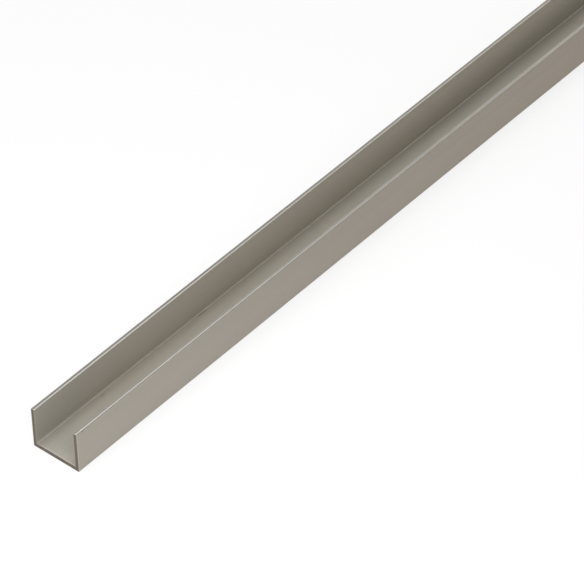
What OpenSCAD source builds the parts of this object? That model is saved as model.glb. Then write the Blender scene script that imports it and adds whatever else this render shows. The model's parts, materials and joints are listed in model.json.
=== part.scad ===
// Aluminium U-channel: a length of extruded stock with a flat web and two equal
// upright flanges, sawn square at both ends. It lies on its web, open side up.
// Sizes are in millimetres. X runs along the bar, Y across the web and Z up.
// The origin is on the underside of the web, in the middle of the bar.

/* [Section] */
// Width over the outsides of the two flanges
channel_width = 30; // [12:0.5:80]
// Height from the underside of the web to the flange tips
channel_height = 25; // [8:0.5:80]
// Thickness of the web
web_wall = 2.5; // [1:0.1:4]
// Thickness of each flange
flange_wall = 2; // [1:0.1:4]

/* [Edges] */
// Radius of the two long outside corners, where the web turns into the flanges
corner_radius = 0.5; // [0.1:0.05:1]
// Radius of the outside long edge of each flange tip
tip_radius = 0.3; // [0.1:0.05:0.4]
// Radius of the inside long edge of each flange tip
inner_tip_radius = 0.45; // [0.1:0.05:0.5]
// Radius of the two long fillets in the inside corners
fillet_radius = 0.3; // [0.1:0.05:1.5]

/* [Stock] */
// Length between the two saw cuts
bar_length = 500; // [100:10:6000]

/* [Hidden] */

// Clear width between the flanges
groove_width = channel_width - 2 * flange_wall;
// How far a cutting shape runs past the face that it cuts
overlap = 1;
// Facets of a full circle
$fn = 64;

// Draws its children on the left of the section's centre line and mirrored on the right
module both_sides() {
    children();
    mirror([1, 0]) children();
}

// The sliver between a square corner at the origin and an arc of radius r that
// touches both of its sides: a rounded outside corner loses it and a fillet is it
module corner_sliver(r) {
    difference() {
        translate([-overlap, -overlap]) square(r + overlap);
        translate([r, r]) circle(r);
    }
}

// The open space between the flanges, with filleted bottom corners
module groove() {
    difference() {
        translate([-groove_width / 2, web_wall])
            square([groove_width, channel_height - web_wall + overlap]);
        both_sides()
            translate([-groove_width / 2, web_wall]) corner_sliver(fillet_radius);
    }
}

// The extruded section: X across the web and Y up
module section() {
    difference() {
        translate([-channel_width / 2, 0]) square([channel_width, channel_height]);
        groove();
        both_sides() {
            translate([-channel_width / 2, 0]) corner_sliver(corner_radius);
            translate([-channel_width / 2, channel_height])
                rotate(-90) corner_sliver(tip_radius);
            translate([-groove_width / 2, channel_height])
                rotate(180) corner_sliver(inner_tip_radius);
        }
    }
}

// The whole bar, with its section stood up in the YZ plane and drawn along X
module u_channel() {
    color("#9f9a90")
        rotate([90, 0, 90])
            linear_extrude(height = bar_length, center = true) section();
}

u_channel();
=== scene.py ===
"""Looks of an aluminium U-channel: a fine mesh of the extruded bar with its satin anodised skin, sawn
ends and small marks, on a white floor under soft light. Lengths are in metres, in the frame of the
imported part."""
import json
import math

import bmesh
import bpy
from mathutils import Matrix, Vector


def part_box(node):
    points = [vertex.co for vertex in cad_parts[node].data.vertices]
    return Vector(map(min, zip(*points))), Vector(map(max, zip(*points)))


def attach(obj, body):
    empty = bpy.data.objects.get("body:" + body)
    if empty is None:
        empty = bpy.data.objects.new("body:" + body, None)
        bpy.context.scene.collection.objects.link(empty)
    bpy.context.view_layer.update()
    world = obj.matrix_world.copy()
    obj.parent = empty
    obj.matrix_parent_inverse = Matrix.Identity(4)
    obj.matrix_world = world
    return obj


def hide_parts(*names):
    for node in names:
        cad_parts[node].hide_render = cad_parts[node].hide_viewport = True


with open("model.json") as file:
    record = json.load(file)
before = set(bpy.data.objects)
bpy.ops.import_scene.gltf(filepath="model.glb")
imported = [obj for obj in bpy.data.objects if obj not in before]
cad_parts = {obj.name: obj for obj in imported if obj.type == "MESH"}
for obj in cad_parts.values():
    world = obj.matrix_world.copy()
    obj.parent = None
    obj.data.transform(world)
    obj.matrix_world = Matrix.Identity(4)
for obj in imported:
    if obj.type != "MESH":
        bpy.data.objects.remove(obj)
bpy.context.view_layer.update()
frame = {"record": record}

NODE = "u_channel"
MM = 0.001

# Section sizes: the outside and the web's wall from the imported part, the rest as in its source
low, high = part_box(NODE)
HALF_WIDTH = (high.y - low.y) / 2
HEIGHT = high.z - low.z
WEB_WALL = next(m["pos_m"][2] for m in frame["record"]["mounts"] if m["name"] == "groove_floor")
FLANGE_WALL = 2.0 * MM
CORNER_RADIUS = 0.5 * MM
TIP_RADIUS = 0.3 * MM
INNER_TIP_RADIUS = 0.45 * MM
FILLET_RADIUS = 0.3 * MM

# How finely the mesh follows the bar: steps on an arc and on a flat of the section, the band below the
# right flange's tip with its own even steps, and steps along the bar
ARC_STEPS = 8
FLAT_STEPS = 12
FINE_BAND = 2.4 * MM
FINE_STEPS = 24
LONG_STEPS = 25

# The saw leaves its edges very slightly broken: by this much, rounded in so many steps
CUT_BREAK = 0.06 * MM
CUT_STEPS = 3

# Knocks on the upper outside edge of the right flange: place along the bar from the near cut, height,
# half length, half height and depth
KNOCKS = [
    (4.5 * MM, 24.6 * MM, 0.75 * MM, 0.55 * MM, 0.16 * MM),
    (4.4 * MM, 23.9 * MM, 0.30 * MM, 0.75 * MM, 0.10 * MM),
    (8.1 * MM, 24.6 * MM, 0.55 * MM, 0.40 * MM, 0.07 * MM),
]
# The stretch of the bar that they are on, and the length of the mesh's steps there
KNOCKS_SPAN = (3.6 * MM, 8.8 * MM)
KNOCKS_STEP = 0.13 * MM

# The sawn ends' place in the bar's list of materials, and how much more large faces count than small
# ones in the shading, so that flat faces look flat
SAWN_INDEX = 1
LARGE_FACE_WEIGHT = 100


def arc(centre, radius, start, end, hollow=False):
    """Points of an arc in the section, from one angle to another in degrees, each with the normal that
    leaves the metal: away from the centre, or towards it where the arc is hollow."""
    points = []
    for step in range(ARC_STEPS + 1):
        angle = math.radians(start + (end - start) * step / ARC_STEPS)
        out = Vector((math.cos(angle), math.sin(angle)))
        points.append((Vector(centre) + radius * out, -out if hollow else out))
    return points


def flat_shares(length, fine_band):
    """How far along a flat its points lie: crowded towards its ends, and in even fine steps over its last
    band."""
    coarse = 1 - fine_band / length
    angles = [math.pi * step / FLAT_STEPS for step in range(1, FLAT_STEPS)]
    shares = [coarse * (0.5 - 0.5 * math.cos(angle)) for angle in angles]
    if fine_band:
        shares += [coarse + (1 - coarse) * step / FINE_STEPS for step in range(FINE_STEPS)]
    return shares


def with_flats(arcs):
    """Joins arcs into one run, with points along the flats between them. The last flat ends in a fine
    band."""
    run = list(arcs[0])
    for following in arcs[1:]:
        start, normal = run[-1]
        end = following[0][0]
        fine_band = FINE_BAND if following is arcs[-1] else 0.0
        for share in flat_shares((end - start).length, fine_band):
            run.append((start.lerp(end, share), normal))
        run += following
    return run


def section_runs():
    """The outside and the inside of the section, each from the left flange's tip to the right one's, with
    as many points, so that point by point they face each other across the wall."""
    tip_z = HEIGHT - TIP_RADIUS
    tip_y = HALF_WIDTH - TIP_RADIUS
    corner_y = HALF_WIDTH - CORNER_RADIUS
    inner_tip_y = HALF_WIDTH - FLANGE_WALL + INNER_TIP_RADIUS
    inner_tip_z = HEIGHT - INNER_TIP_RADIUS
    fillet_y = HALF_WIDTH - FLANGE_WALL - FILLET_RADIUS
    fillet_z = WEB_WALL + FILLET_RADIUS
    outside = with_flats([
        arc((tip_y, tip_z), TIP_RADIUS, 90, 0),
        arc((corner_y, CORNER_RADIUS), CORNER_RADIUS, 0, -90),
        arc((-corner_y, CORNER_RADIUS), CORNER_RADIUS, -90, -180),
        arc((-tip_y, tip_z), TIP_RADIUS, 180, 90),
    ])
    inside = with_flats([
        arc((inner_tip_y, inner_tip_z), INNER_TIP_RADIUS, 90, 180),
        arc((fillet_y, fillet_z), FILLET_RADIUS, 0, -90, hollow=True),
        arc((-fillet_y, fillet_z), FILLET_RADIUS, -90, -180, hollow=True),
        arc((-inner_tip_y, inner_tip_z), INNER_TIP_RADIUS, 0, 90),
    ])
    return outside, inside


def stations():
    """(place along the bar, how far the section is drawn in there) from the near cut to the far one."""
    ends = []
    for step in range(CUT_STEPS + 1):
        angle = math.pi / 2 * step / CUT_STEPS
        ends.append((CUT_BREAK * (1 - math.cos(angle)), CUT_BREAK * (1 - math.sin(angle))))
    near = [(low.x + depth, inset) for depth, inset in ends]
    far = [(high.x - depth, inset) for depth, inset in reversed(ends)]
    first, last = KNOCKS_SPAN
    fine_steps = math.ceil((last - first) / KNOCKS_STEP)
    shares = [step / fine_steps for step in range(fine_steps + 1)]
    fine = [(low.x + first + (last - first) * share, 0.0) for share in shares]
    clear = fine[-1][0]
    span = far[0][0] - clear
    middle = [(clear + span * step / LONG_STEPS, 0.0) for step in range(1, LONG_STEPS)]
    return near + fine + middle + far


def knock_depth(x, place):
    """How deep the knocks dent the bar at a place of its section."""
    if place.x > TIP_RADIUS - HALF_WIDTH:
        return 0.0
    deepest = 0.0
    for along, height, half_length, half_height, depth in KNOCKS:
        reach = math.hypot((x - low.x - along) / half_length, (place.y - height) / half_height)
        deepest = max(deepest, depth * max(0.0, 1 - reach * reach) ** 2)
    return deepest


def make_bar():
    """The bar as one closed mesh: rings of the section along the bar, and a strip of quads across each
    cut."""
    outside, inside = section_runs()
    loop = outside + inside[::-1]
    count = len(loop)
    shape = bmesh.new()
    rings = []
    for x, inset in stations():
        ring = []
        for point, normal in loop:
            place = point - (inset + knock_depth(x, point)) * normal
            ring.append(shape.verts.new((x, place.x, place.y)))
        rings.append(ring)
    for ring, following in zip(rings, rings[1:]):
        for k in range(count):
            after = (k + 1) % count
            shape.faces.new((ring[k], ring[after], following[after], following[k]))
    for ring in (rings[0], rings[-1]):
        for k in range(len(outside) - 1):
            face = shape.faces.new((ring[k], ring[k + 1], ring[count - 2 - k], ring[count - 1 - k]))
            face.material_index = SAWN_INDEX
    bmesh.ops.recalc_face_normals(shape, faces=shape.faces)
    for face in shape.faces:
        face.smooth = True
    mesh = bpy.data.meshes.new("bar")
    shape.to_mesh(mesh)
    shape.free()
    bar = bpy.data.objects.new("channel_bar", mesh)
    bpy.context.scene.collection.objects.link(bar)
    weights = bar.modifiers.new("flat_faces_stay_flat", "WEIGHTED_NORMAL")
    weights.mode = "FACE_AREA"
    weights.weight = LARGE_FACE_WEIGHT
    weights.keep_sharp = True
    return bar


def new_material(name):
    """A node material, with its tree and its Principled shader."""
    material = bpy.data.materials.new(name)
    material.use_nodes = True
    tree = material.node_tree
    return material, tree, tree.nodes["Principled BSDF"]


def fill(tree, sockets, values):
    """Links each value that is a socket to its input, and sets the input to any other value."""
    for socket, value in zip(sockets, values):
        if isinstance(value, bpy.types.NodeSocket):
            tree.links.new(value, socket)
        else:
            socket.default_value = value


def maths(tree, operation, *values):
    """The result of a sum on sockets and numbers."""
    node = tree.nodes.new("ShaderNodeMath")
    node.operation = operation
    fill(tree, node.inputs, values)
    return node.outputs[0]


def vector_maths(tree, operation, *values):
    """The result of a sum on vectors: a number for a length, and otherwise a vector."""
    node = tree.nodes.new("ShaderNodeVectorMath")
    node.operation = operation
    fill(tree, node.inputs, values)
    return node.outputs["Value" if operation == "LENGTH" else "Vector"]


def ramp(tree, value, start, end, low_result=0.0, high_result=1.0):
    """A soft step from one result to another as a value goes from start to end."""
    node = tree.nodes.new("ShaderNodeMapRange")
    node.interpolation_type = "SMOOTHSTEP"
    fill(tree, node.inputs, (value, start, end, low_result, high_result))
    return node.outputs["Result"]


def object_place(tree):
    """The place on the bar, in metres, as a vector and as its three numbers."""
    place = tree.nodes.new("ShaderNodeTexCoord").outputs["Object"]
    split = tree.nodes.new("ShaderNodeSeparateXYZ")
    tree.links.new(place, split.inputs[0])
    return place, *split.outputs


# How often noise is broken up finer: most noise, and the clouds of the finish and the arcs of the saw
PLAIN_DETAIL = 2.0
FINE_DETAIL = 3.0


def noise(tree, place, waves, detail=PLAIN_DETAIL):
    """Noise about zero, between -0.5 and 0.5, with a number of waves a metre along each axis."""
    node = tree.nodes.new("ShaderNodeTexNoise")
    tree.links.new(vector_maths(tree, "MULTIPLY", place, waves), node.inputs["Vector"])
    node.inputs["Scale"].default_value = 1.0
    node.inputs["Detail"].default_value = detail
    return maths(tree, "SUBTRACT", node.outputs["Fac"], 0.5)


# Share of a mark's radii within which it is strongest
BLOT_CORE = 0.25


def blot(tree, place, centre, radii):
    """1 in the middle of an ellipsoid, falling softly to 0 at its surface."""
    offset = vector_maths(tree, "SUBTRACT", place, centre)
    reach = vector_maths(tree, "LENGTH", vector_maths(tree, "DIVIDE", offset, radii))
    return ramp(tree, reach, BLOT_CORE, 1.0, 1.0, 0.0)


def tinted(tree, colour, tone):
    """A colour made lighter or darker by a tone."""
    node = tree.nodes.new("ShaderNodeVectorMath")
    node.operation = "SCALE"
    fill(tree, (node.inputs["Vector"], node.inputs["Scale"]), (colour, tone))
    return node.outputs["Vector"]


# Sockets of a node that mixes vectors: its share, its first and second vector, and its result
MIX_INPUTS = (0, 4, 5)
MIX_RESULT = 1


def mixed(tree, share, first, second):
    """A colour that goes from the first to the second as the share goes from 0 to 1."""
    node = tree.nodes.new("ShaderNodeMix")
    node.data_type = "VECTOR"
    fill(tree, [node.inputs[number] for number in MIX_INPUTS], (share, first, second))
    return node.outputs[MIX_RESULT]


def toned(tree, tone, *changes):
    """A tone times 1 plus each change, which is a mask or noise and its strength."""
    for mask, strength in changes:
        tone = maths(tree, "MULTIPLY", tone, maths(tree, "MULTIPLY_ADD", mask, strength, 1.0))
    return tone


def roughened(tree, shader, height, depth):
    """Bump of a depth in metres from a height between -0.5 and 0.5."""
    bump = tree.nodes.new("ShaderNodeBump")
    bump.inputs["Strength"].default_value = 1.0
    bump.inputs["Distance"].default_value = depth
    tree.links.new(height, bump.inputs["Height"])
    tree.links.new(bump.outputs["Normal"], shader.inputs["Normal"])


# Colours of the skin: on the outsides at the near end and at the far one, on the groove's floor, on the
# groove's upper walls and near end, and on the flange tips. The far outsides carry a painted warm tint of
# reflected light, and the groove's upper walls and near end and the flange tips a painted cool one
SKIN_COLOUR = (0.390, 0.354, 0.301)
SKIN_FAR_TINTED_COLOUR = (0.382, 0.323, 0.253)
GROOVE_COLOUR = (0.381, 0.354, 0.300)
WALL_TINTED_COLOUR = (0.381, 0.358, 0.315)
TIP_TINTED_COLOUR = (0.384, 0.361, 0.318)

# Colours of the painted highlight lines on the tips and of bare sawn metal
TIP_HIGHLIGHT_COLOUR = (0.80, 0.79, 0.76)
# The sawn ends' colour is darkened by painted shade
SAWN_SHADED_COLOUR = (0.180, 0.152, 0.122)

# Waves a metre along each axis: lines and broader streaks of the extrusion die, matt etched grain,
# clouds of the finish and clouds on the sawn ends
DIE_WAVES = (4, 1300, 1300)
STREAK_WAVES = (1.5, 260, 260)
GRAIN_WAVES = (3500, 3500, 3500)
CLOUD_WAVES = (28, 70, 70)
SAWN_CLOUD_WAVES = (300, 300, 300)

# How strongly lines, streaks, grain and clouds change the skin's tone
LINES_TONE = 0.1
STREAKS_TONE = 0.07
GRAIN_TONE = 0.08
CLOUDS_TONE = 0.08

# How metallic the skin is, its roughness with what clouds and lines add to it, the grain's share in its
# relief next to that of the lines, and the depth of the relief
SKIN_METALLIC = 0.3
SKIN_ROUGHNESS = 0.35
CLOUDS_ROUGHNESS = 0.12
LINES_ROUGHNESS = 0.08
GRAIN_RELIEF = 0.6
SKIN_RELIEF = 0.006 * MM

# Marks on the skin, among them painted shade in the knocks: place along the bar from the near cut, across
# and up, and radii, all in millimetres, and change of tone
MARKS = [
    # Stains and a pale speck on the web near the left flange
    ((46.0, 10.8, 2.5), (2.6, 0.75, 0.5), -0.22),
    ((121.9, 12.0, 2.5), (5.2, 0.7, 0.5), -0.34),
    ((310.4, 8.2, 2.5), (1.2, 0.5, 0.5), 0.16),
    # Painted shade in the knocks on the right flange
    ((4.5, -15.0, 24.4), (0.7, 0.6, 0.7), -0.5),
    ((4.3, -15.0, 23.7), (0.4, 0.6, 0.9), -0.28),
    ((6.4, -15.0, 24.55), (2.2, 0.6, 0.35), -0.25),
    ((8.1, -15.0, 24.5), (0.8, 0.6, 0.5), -0.3),
    # Faint upright scratch on the right flange
    ((28.1, -15.0, 21.0), (0.45, 0.5, 2.3), -0.10),
    # Pale specks on the right flange
    ((356.7, -15.0, 20.2), (0.6, 0.5, 0.6), 0.24),
    ((342.2, -15.0, 14.4), (0.6, 0.5, 0.6), 0.24),
    ((349.2, -15.0, 8.5), (0.6, 0.5, 0.6), 0.24),
]

# Painted highlight lines on the flange tips: place across the bar, half width, and share of the highlight
# colour at the near end and at the length where it stops changing
TIP_HIGHLIGHT_LINES = [
    (13.15 * MM, 0.45 * MM, 0.62, 0.04),
    (-14.28 * MM, 0.38 * MM, 0.66, 0.25),
    (-13.2 * MM, 0.45 * MM, 0.18, 0.42),
]
TIP_HIGHLIGHT_LENGTH = 380 * MM
# Share of a line's half width within which it is strongest, and the heights where the painted highlight
# begins and is full
TIP_HIGHLIGHT_CORE = 0.5
TIP_HIGHLIGHT_FROM = HEIGHT - 0.45 * MM
TIP_HIGHLIGHT_FULL = HEIGHT - 0.15 * MM

# The tops of the flange tips, which begin and are full at these heights, carry painted shade that makes
# them darker than the skin, most at the near end
TIP_FROM = HEIGHT - TIP_RADIUS
TIP_FULL = HEIGHT - TIP_RADIUS / 3
TIP_NEAR_SHADE = -0.27
TIP_FAR_SHADE = -0.06

# Painted light at the bottom of the outsides and painted shade at their tips: the change of tone there
OUTSIDE_LOW_LIGHT = 0.045
OUTSIDE_HIGH_SHADE = -0.025

# How far the painted highlight at each cut reaches, and its change of tone inside the groove and on the
# outsides
CUT_HIGHLIGHT_REACH = 0.9 * MM
CUT_HIGHLIGHT_INSIDE = 0.2
CUT_HIGHLIGHT_OUTSIDE = 0.38

# Painted light makes the skin paler all over inside the groove. That begins and is full at heights inside
# the web, and fades over an edge inside the flanges
INNER_FACE = HALF_WIDTH - FLANGE_WALL
GROOVE_FROM = WEB_WALL / 2
GROOVE_FULL = WEB_WALL * 0.9
GROOVE_EDGE = FLANGE_WALL / 4
GROOVE_PAINTED_LIGHT = 0.11

# Painted shade on the groove's floor deepens over a reach towards its corners, and towards the far end. It
# is full up to just above the floor and soon ends
CORNER_SHADE_REACH = 6.0 * MM
CORNER_SHADE_CHANGE = -0.14
FAR_SHADE_CHANGE = -0.21
FLOOR_SHADE_FULL = WEB_WALL + FILLET_RADIUS / 10
FLOOR_SHADE_END = WEB_WALL + FILLET_RADIUS / 3

# A painted highlight makes the fillets in the groove's corners paler, and that ends at this distance from
# the corner
FILLET_HIGHLIGHT_CHANGE = 0.16
FILLET_HIGHLIGHT_END = FILLET_RADIUS * 1.3

# Painted light makes the groove's walls paler from this height to the tips, less at the near end than at
# the far one
PALE_FROM = 5.5 * MM
WALL_LIGHT_NEAR = 0.22
WALL_LIGHT_FAR = 0.68

# Over this reach from the near cut painted shade makes the groove's walls darker
NEAR_WALL_SHADE = -0.155
NEAR_WALL_SHADE_REACH = 105 * MM

# A painted cool tint of reflected light lies on the groove over this reach from the near cut, and fully on
# its walls from this height
COOL_REACH = 60 * MM
COOL_HEIGHT = 14 * MM

# The saw blade's middle, far outside the section, the plane of the cut, and the waves a metre of the
# blade's arcs
BLADE_CENTRE = (0.0, -0.09, 0.14)
CUT_PLANE = (0, 1, 1)
SAW_WAVES = (2600, 0, 0)

# How strongly arcs, grain and clouds change the sawn metal's tone, how metallic and how rough it is,
# with what the arcs add to that, and the depth of the arcs
ARCS_TONE = 0.5
SAWN_GRAIN_TONE = 0.3
SAWN_CLOUDS_TONE = 0.3
SAWN_METALLIC = 0.6
SAWN_ROUGHNESS = 0.6
ARCS_ROUGHNESS = 0.2
ARCS_RELIEF = 0.02 * MM


def in_groove(tree, y, z):
    """1 on the faces inside the groove, and 0 on the outsides, the tips and the underside."""
    between = ramp(tree, maths(tree, "ABSOLUTE", y), INNER_FACE, INNER_FACE + GROOVE_EDGE, 1.0, 0.0)
    return maths(tree, "MULTIPLY", between, ramp(tree, z, GROOVE_FROM, GROOVE_FULL))


def on_walls(tree, z):
    """0 at the height of the groove's floor and 1 on its walls."""
    return ramp(tree, z, WEB_WALL + FILLET_RADIUS, PALE_FROM)


def on_tips(tree, z):
    """1 on the tops of the flange tips and 0 below their rounded edges."""
    return ramp(tree, z, TIP_FROM, TIP_FULL)


def wall_painted_light(tree, x, z):
    """How much painted light makes the skin paler at a height: 0 at the groove's floor and most at the
    tips.
    """
    most = ramp(tree, x, low.x, high.x, WALL_LIGHT_NEAR, WALL_LIGHT_FAR)
    return maths(tree, "MULTIPLY", most, ramp(tree, z, PALE_FROM, HEIGHT))


def floor_painted_shade(tree, x, y, z):
    """Painted shade on the groove's floor, darker beside the fillets and towards the far end."""
    fillet_edge = INNER_FACE - FILLET_RADIUS
    off_middle = maths(tree, "ABSOLUTE", y)
    corner = ramp(tree, off_middle, fillet_edge - CORNER_SHADE_REACH, fillet_edge, 0.0, CORNER_SHADE_CHANGE)
    far_shade = ramp(tree, x, low.x, high.x, 0.0, FAR_SHADE_CHANGE)
    on_floor = ramp(tree, z, FLOOR_SHADE_FULL, FLOOR_SHADE_END, 1.0, 0.0)
    return maths(tree, "MULTIPLY", on_floor, maths(tree, "ADD", corner, far_shade))


def near_wall_shade(tree, x, z):
    """Painted shade on the groove's walls, darker towards the near cut."""
    change = ramp(tree, x, low.x, low.x + NEAR_WALL_SHADE_REACH, NEAR_WALL_SHADE, 0.0)
    return maths(tree, "MULTIPLY", on_walls(tree, z), change)


def groove_light_and_shade(tree, x, y, z, groove):
    """Painted light and shade inside the groove: paler all over and towards the tips, with painted shade
    beside the fillets, towards the far end and on the walls near the cut."""
    paler = maths(tree, "ADD", wall_painted_light(tree, x, z), GROOVE_PAINTED_LIGHT)
    darker = maths(tree, "ADD", floor_painted_shade(tree, x, y, z), near_wall_shade(tree, x, z))
    return maths(tree, "MULTIPLY", groove, maths(tree, "ADD", paler, darker))


def fillet_highlight(tree, y, z):
    """1 on the fillets in the groove's corners, where a highlight is painted, and 0 elsewhere."""
    across = maths(tree, "SUBTRACT", INNER_FACE, maths(tree, "ABSOLUTE", y))
    up = maths(tree, "SUBTRACT", z, WEB_WALL)
    farther = maths(tree, "MAXIMUM", maths(tree, "ABSOLUTE", across), maths(tree, "ABSOLUTE", up))
    return ramp(tree, farther, FILLET_RADIUS, FILLET_HIGHLIGHT_END, 1.0, 0.0)


def cut_highlight_change(tree, x, groove):
    """Change of tone in the painted highlights at both cuts."""
    rim = ramp(tree, maths(tree, "ABSOLUTE", x), high.x - CUT_HIGHLIGHT_REACH, high.x)
    change = ramp(tree, groove, 0.0, 1.0, CUT_HIGHLIGHT_OUTSIDE, CUT_HIGHLIGHT_INSIDE)
    return maths(tree, "MULTIPLY", rim, change)


def tip_painted_shade(tree, x, z):
    """Painted shade on the tops of the flange tips."""
    change = ramp(tree, x, low.x, high.x, TIP_NEAR_SHADE, TIP_FAR_SHADE)
    return maths(tree, "MULTIPLY", change, on_tips(tree, z))


def outside_light_and_shade(tree, z, groove):
    """Painted light and shade on the outsides, from the bottom to the tips."""
    change = ramp(tree, z, 0.0, HEIGHT, OUTSIDE_LOW_LIGHT, OUTSIDE_HIGH_SHADE)
    return maths(tree, "MULTIPLY", change, maths(tree, "SUBTRACT", 1.0, groove))


def marked(tree, tone, place):
    """A tone with the marks and the painted shade in the knocks on it."""
    for centre, radii, change in MARKS:
        along, across, up = (value * MM for value in centre)
        spot = blot(tree, place, (low.x + along, across, up), tuple(value * MM for value in radii))
        tone = toned(tree, tone, (spot, change))
    return tone


def skin_colour(tree, x, z, groove):
    """The skin's colour with painted tints of reflected light: warmer on the outsides towards the far end,
    cooler on the tips, on the groove's upper walls and at its near end."""
    flanks = mixed(tree, ramp(tree, x, low.x, high.x), SKIN_COLOUR, SKIN_FAR_TINTED_COLOUR)
    outside = mixed(tree, on_tips(tree, z), flanks, TIP_TINTED_COLOUR)
    near_end = ramp(tree, x, low.x, low.x + COOL_REACH, 1.0, 0.0)
    upper_walls = ramp(tree, z, PALE_FROM, COOL_HEIGHT)
    inside = mixed(tree, maths(tree, "MAXIMUM", near_end, upper_walls), GROOVE_COLOUR, WALL_TINTED_COLOUR)
    return mixed(tree, groove, outside, inside)


def painted_tip_highlights(tree, x, y, z):
    """Share of the painted highlight colour: lines along the flange tips."""
    share = 0.0
    for across, half_width, near_share, far_share in TIP_HIGHLIGHT_LINES:
        off_line = maths(tree, "ABSOLUTE", maths(tree, "SUBTRACT", y, across))
        strength = ramp(tree, x, low.x, low.x + TIP_HIGHLIGHT_LENGTH, near_share, far_share)
        on_line = ramp(tree, off_line, half_width * TIP_HIGHLIGHT_CORE, half_width, 1.0, 0.0)
        share = maths(tree, "MAXIMUM", share, maths(tree, "MULTIPLY", strength, on_line))
    return maths(tree, "MULTIPLY", share, ramp(tree, z, TIP_HIGHLIGHT_FROM, TIP_HIGHLIGHT_FULL))


def satin_material():
    """Satin anodised skin: die lines along the bar, matt grain, faint clouds and small marks, and painted
    light and shade: highlight lines on the tips, pale highlights at the cuts, paler walls and shaded
    corners in the groove, and shade in the knocks."""
    material, tree, shader = new_material("satin_anodised")
    place, x, y, z = object_place(tree)
    lines = noise(tree, place, DIE_WAVES)
    streaks = noise(tree, place, STREAK_WAVES)
    grain = noise(tree, place, GRAIN_WAVES)
    clouds = noise(tree, place, CLOUD_WAVES, FINE_DETAIL)
    groove = in_groove(tree, y, z)
    # The tone carries painted light and shade: highlights at the cuts, light and shade in the groove,
    # highlights on the fillets, shade on the tips, and light and shade on the outsides
    tone = toned(tree, 1.0, (lines, LINES_TONE), (streaks, STREAKS_TONE), (grain, GRAIN_TONE),
                 (clouds, CLOUDS_TONE), (cut_highlight_change(tree, x, groove), 1.0),
                 (groove_light_and_shade(tree, x, y, z, groove), 1.0),
                 (fillet_highlight(tree, y, z), FILLET_HIGHLIGHT_CHANGE), (tip_painted_shade(tree, x, z), 1.0),
                 (outside_light_and_shade(tree, z, groove), 1.0))
    skin = tinted(tree, skin_colour(tree, x, z, groove), marked(tree, tone, place))
    # Painted highlight lines on the flange tips
    colour = mixed(tree, painted_tip_highlights(tree, x, y, z), skin, TIP_HIGHLIGHT_COLOUR)
    tree.links.new(colour, shader.inputs["Base Color"])
    shader.inputs["Metallic"].default_value = SKIN_METALLIC
    cloudy = maths(tree, "MULTIPLY_ADD", clouds, CLOUDS_ROUGHNESS, SKIN_ROUGHNESS)
    rough = maths(tree, "MULTIPLY_ADD", lines, LINES_ROUGHNESS, cloudy)
    tree.links.new(rough, shader.inputs["Roughness"])
    roughened(tree, shader, maths(tree, "MULTIPLY_ADD", grain, GRAIN_RELIEF, lines), SKIN_RELIEF)
    return material


def sawn_material():
    """Bare sawn metal of the ends, rougher than the skin and darker by painted shade, with the arcs that
    the saw blade left."""
    material, tree, shader = new_material("sawn_end")
    place = object_place(tree)[0]
    from_blade = vector_maths(tree, "SUBTRACT", place, BLADE_CENTRE)
    offset = vector_maths(tree, "MULTIPLY", from_blade, CUT_PLANE)
    join = tree.nodes.new("ShaderNodeCombineXYZ")
    tree.links.new(vector_maths(tree, "LENGTH", offset), join.inputs["X"])
    arcs = noise(tree, join.outputs[0], SAW_WAVES, FINE_DETAIL)
    grain = noise(tree, place, GRAIN_WAVES)
    clouds = noise(tree, place, SAWN_CLOUD_WAVES)
    tone = toned(tree, 1.0, (arcs, ARCS_TONE), (grain, SAWN_GRAIN_TONE), (clouds, SAWN_CLOUDS_TONE))
    tree.links.new(tinted(tree, SAWN_SHADED_COLOUR, tone), shader.inputs["Base Color"])
    shader.inputs["Metallic"].default_value = SAWN_METALLIC
    rough = maths(tree, "MULTIPLY_ADD", arcs, ARCS_ROUGHNESS, SAWN_ROUGHNESS)
    tree.links.new(rough, shader.inputs["Roughness"])
    roughened(tree, shader, arcs, ARCS_RELIEF)
    return material


# Half the floor's side, the tone that it shows and the lower one that it throws back, the share of its
# own glow in what it shows, and the light and colour of the studio round the bar
FLOOR_HALF = 12.0
FLOOR_SEEN = 0.95
FLOOR_BOUNCE = 0.5
FLOOR_GLOW = 0.74
WORLD_LIGHT = 0.24
WHITE = (1, 1, 1, 1)


def seen_directly(tree):
    """A socket that is 1 for rays from the camera, from gloss and through glass, and 0 for other rays."""
    path = tree.nodes.new("ShaderNodeLightPath").outputs
    straight = maths(tree, "MAXIMUM", path["Is Camera Ray"], path["Is Glossy Ray"])
    return maths(tree, "MAXIMUM", straight, path["Is Transmission Ray"])


def floor_material():
    """Nearly white to look at, partly by its own glow, and greyer for the light that it throws back."""
    material = bpy.data.materials.new("white_floor")
    material.use_nodes = True
    tree = material.node_tree
    tree.nodes.clear()
    output = tree.nodes.new("ShaderNodeOutputMaterial")
    mix = tree.nodes.new("ShaderNodeMixShader")
    diffuse = tree.nodes.new("ShaderNodeBsdfDiffuse")
    glow = tree.nodes.new("ShaderNodeEmission")
    glow.inputs["Strength"].default_value = 1.0
    seen = seen_directly(tree)
    tree.links.new(ramp(tree, seen, 0.0, 1.0, FLOOR_BOUNCE, FLOOR_SEEN), diffuse.inputs["Color"])
    glow_share = maths(tree, "MULTIPLY", seen, FLOOR_GLOW)
    fill(tree, mix.inputs, (glow_share, diffuse.outputs[0], glow.outputs[0]))
    tree.links.new(mix.outputs[0], output.inputs["Surface"])
    return material


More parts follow.
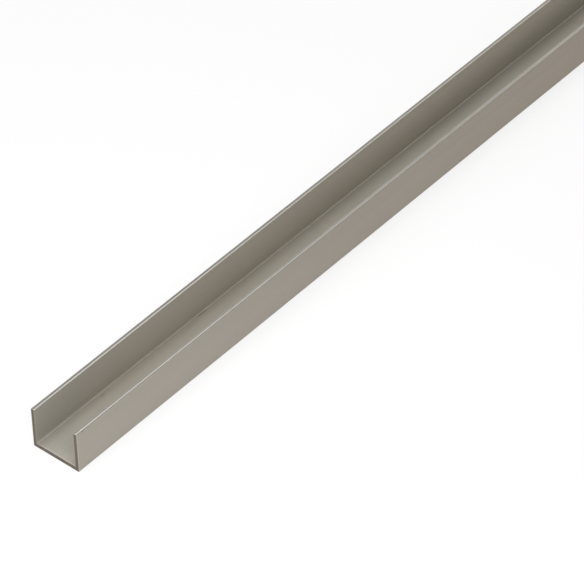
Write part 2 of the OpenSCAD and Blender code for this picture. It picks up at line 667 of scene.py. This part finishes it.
def make_floor():
    """A floor that shows nearly white, keeps a soft shadow of the bar and throws less light back on it."""
    mesh = bpy.data.meshes.new("floor")
    corners = [(-FLOOR_HALF, -FLOOR_HALF, 0), (FLOOR_HALF, -FLOOR_HALF, 0),
               (FLOOR_HALF, FLOOR_HALF, 0), (-FLOOR_HALF, FLOOR_HALF, 0)]
    mesh.from_pydata(corners, [], [(0, 1, 2, 3)])
    mesh.materials.append(floor_material())
    floor = bpy.data.objects.new("floor", mesh)
    bpy.context.scene.collection.objects.link(floor)


def make_world():
    """An even grey-white studio round the bar."""
    world = bpy.data.worlds.new("studio")
    bpy.context.scene.world = world
    world.use_nodes = True
    background = world.node_tree.nodes["Background"]
    background.inputs["Color"].default_value = WHITE
    background.inputs["Strength"].default_value = WORLD_LIGHT


# Soft boxes: name, place, the point that each is turned to, side in metres and power in watts
SOFT_BOXES = [
    ("back_box", (0.89, 0, 0.99), (-0.1, 0, 0), 0.9, 7.3),
    ("left_box", (-0.3, 0.12, 0.87), (-0.1, 0, 0), 0.5, 2.2),
    ("side_box", (-0.35, 0.55, 0.6), (-0.15, 0, 0), 0.4, 1.2),
    ("front_box", (-0.38, -0.28, 0.33), (-0.22, 0, 0), 0.25, 0.96),
    ("right_box", (-0.06, -0.28, 0.33), (-0.22, 0, 0), 0.25, 0.08),
    ("end_box", (-0.5, -0.02, 0.2), (-0.25, 0, 0), 0.15, 0.26),
]


def soft_box(name, place, target, side, power):
    """A square area light at a place, turned to a target and not seen by the camera."""
    data = bpy.data.lights.new(name, "AREA")
    data.shape = "SQUARE"
    data.size = side
    data.energy = power
    light = bpy.data.objects.new(name, data)
    bpy.context.scene.collection.objects.link(light)
    light.visible_camera = False
    light.location = place
    light.rotation_mode = "QUATERNION"
    light.rotation_quaternion = (Vector(target) - Vector(place)).to_track_quat("-Z", "Y")


# The view: a long lens, in millimetres like its sensor, aimed at a point of the floor. Heading is from
# +X towards +Y and pitch is downwards, both in degrees like the roll
CAMERA_LENS = 257.8
SENSOR_WIDTH = 36.0
CAMERA_HEADING = 41.475
CAMERA_PITCH = 42.22
CAMERA_ROLL = -1.81
CAMERA_DISTANCE = 2.129
CAMERA_TARGET = Vector((-85.4 * MM, -11.4 * MM, 0))
CLIP_START = 0.05
CLIP_END = 100


def make_camera():
    """The camera at the photo's viewing angle."""
    data = bpy.data.cameras.new("camera")
    data.lens = CAMERA_LENS
    data.sensor_width = SENSOR_WIDTH
    data.clip_start = CLIP_START
    data.clip_end = CLIP_END
    camera = bpy.data.objects.new("camera", data)
    bpy.context.scene.collection.objects.link(camera)
    turn = Matrix.Rotation(math.radians(CAMERA_HEADING - 90), 4, "Z")
    tilt = Matrix.Rotation(math.radians(90 - CAMERA_PITCH), 4, "X")
    roll = Matrix.Rotation(math.radians(CAMERA_ROLL), 4, "Z")
    back = Matrix.Translation((0, 0, CAMERA_DISTANCE))
    camera.matrix_world = Matrix.Translation(CAMERA_TARGET) @ turn @ tilt @ roll @ back
    bpy.context.scene.camera = camera


bpy.context.scene.view_settings.view_transform = "Standard"
bar = make_bar()
bar.data.materials.append(satin_material())
bar.data.materials.append(sawn_material())
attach(bar, "root")
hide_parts(NODE)
make_floor()
make_world()
for box in SOFT_BOXES:
    soft_box(*box)
make_camera()
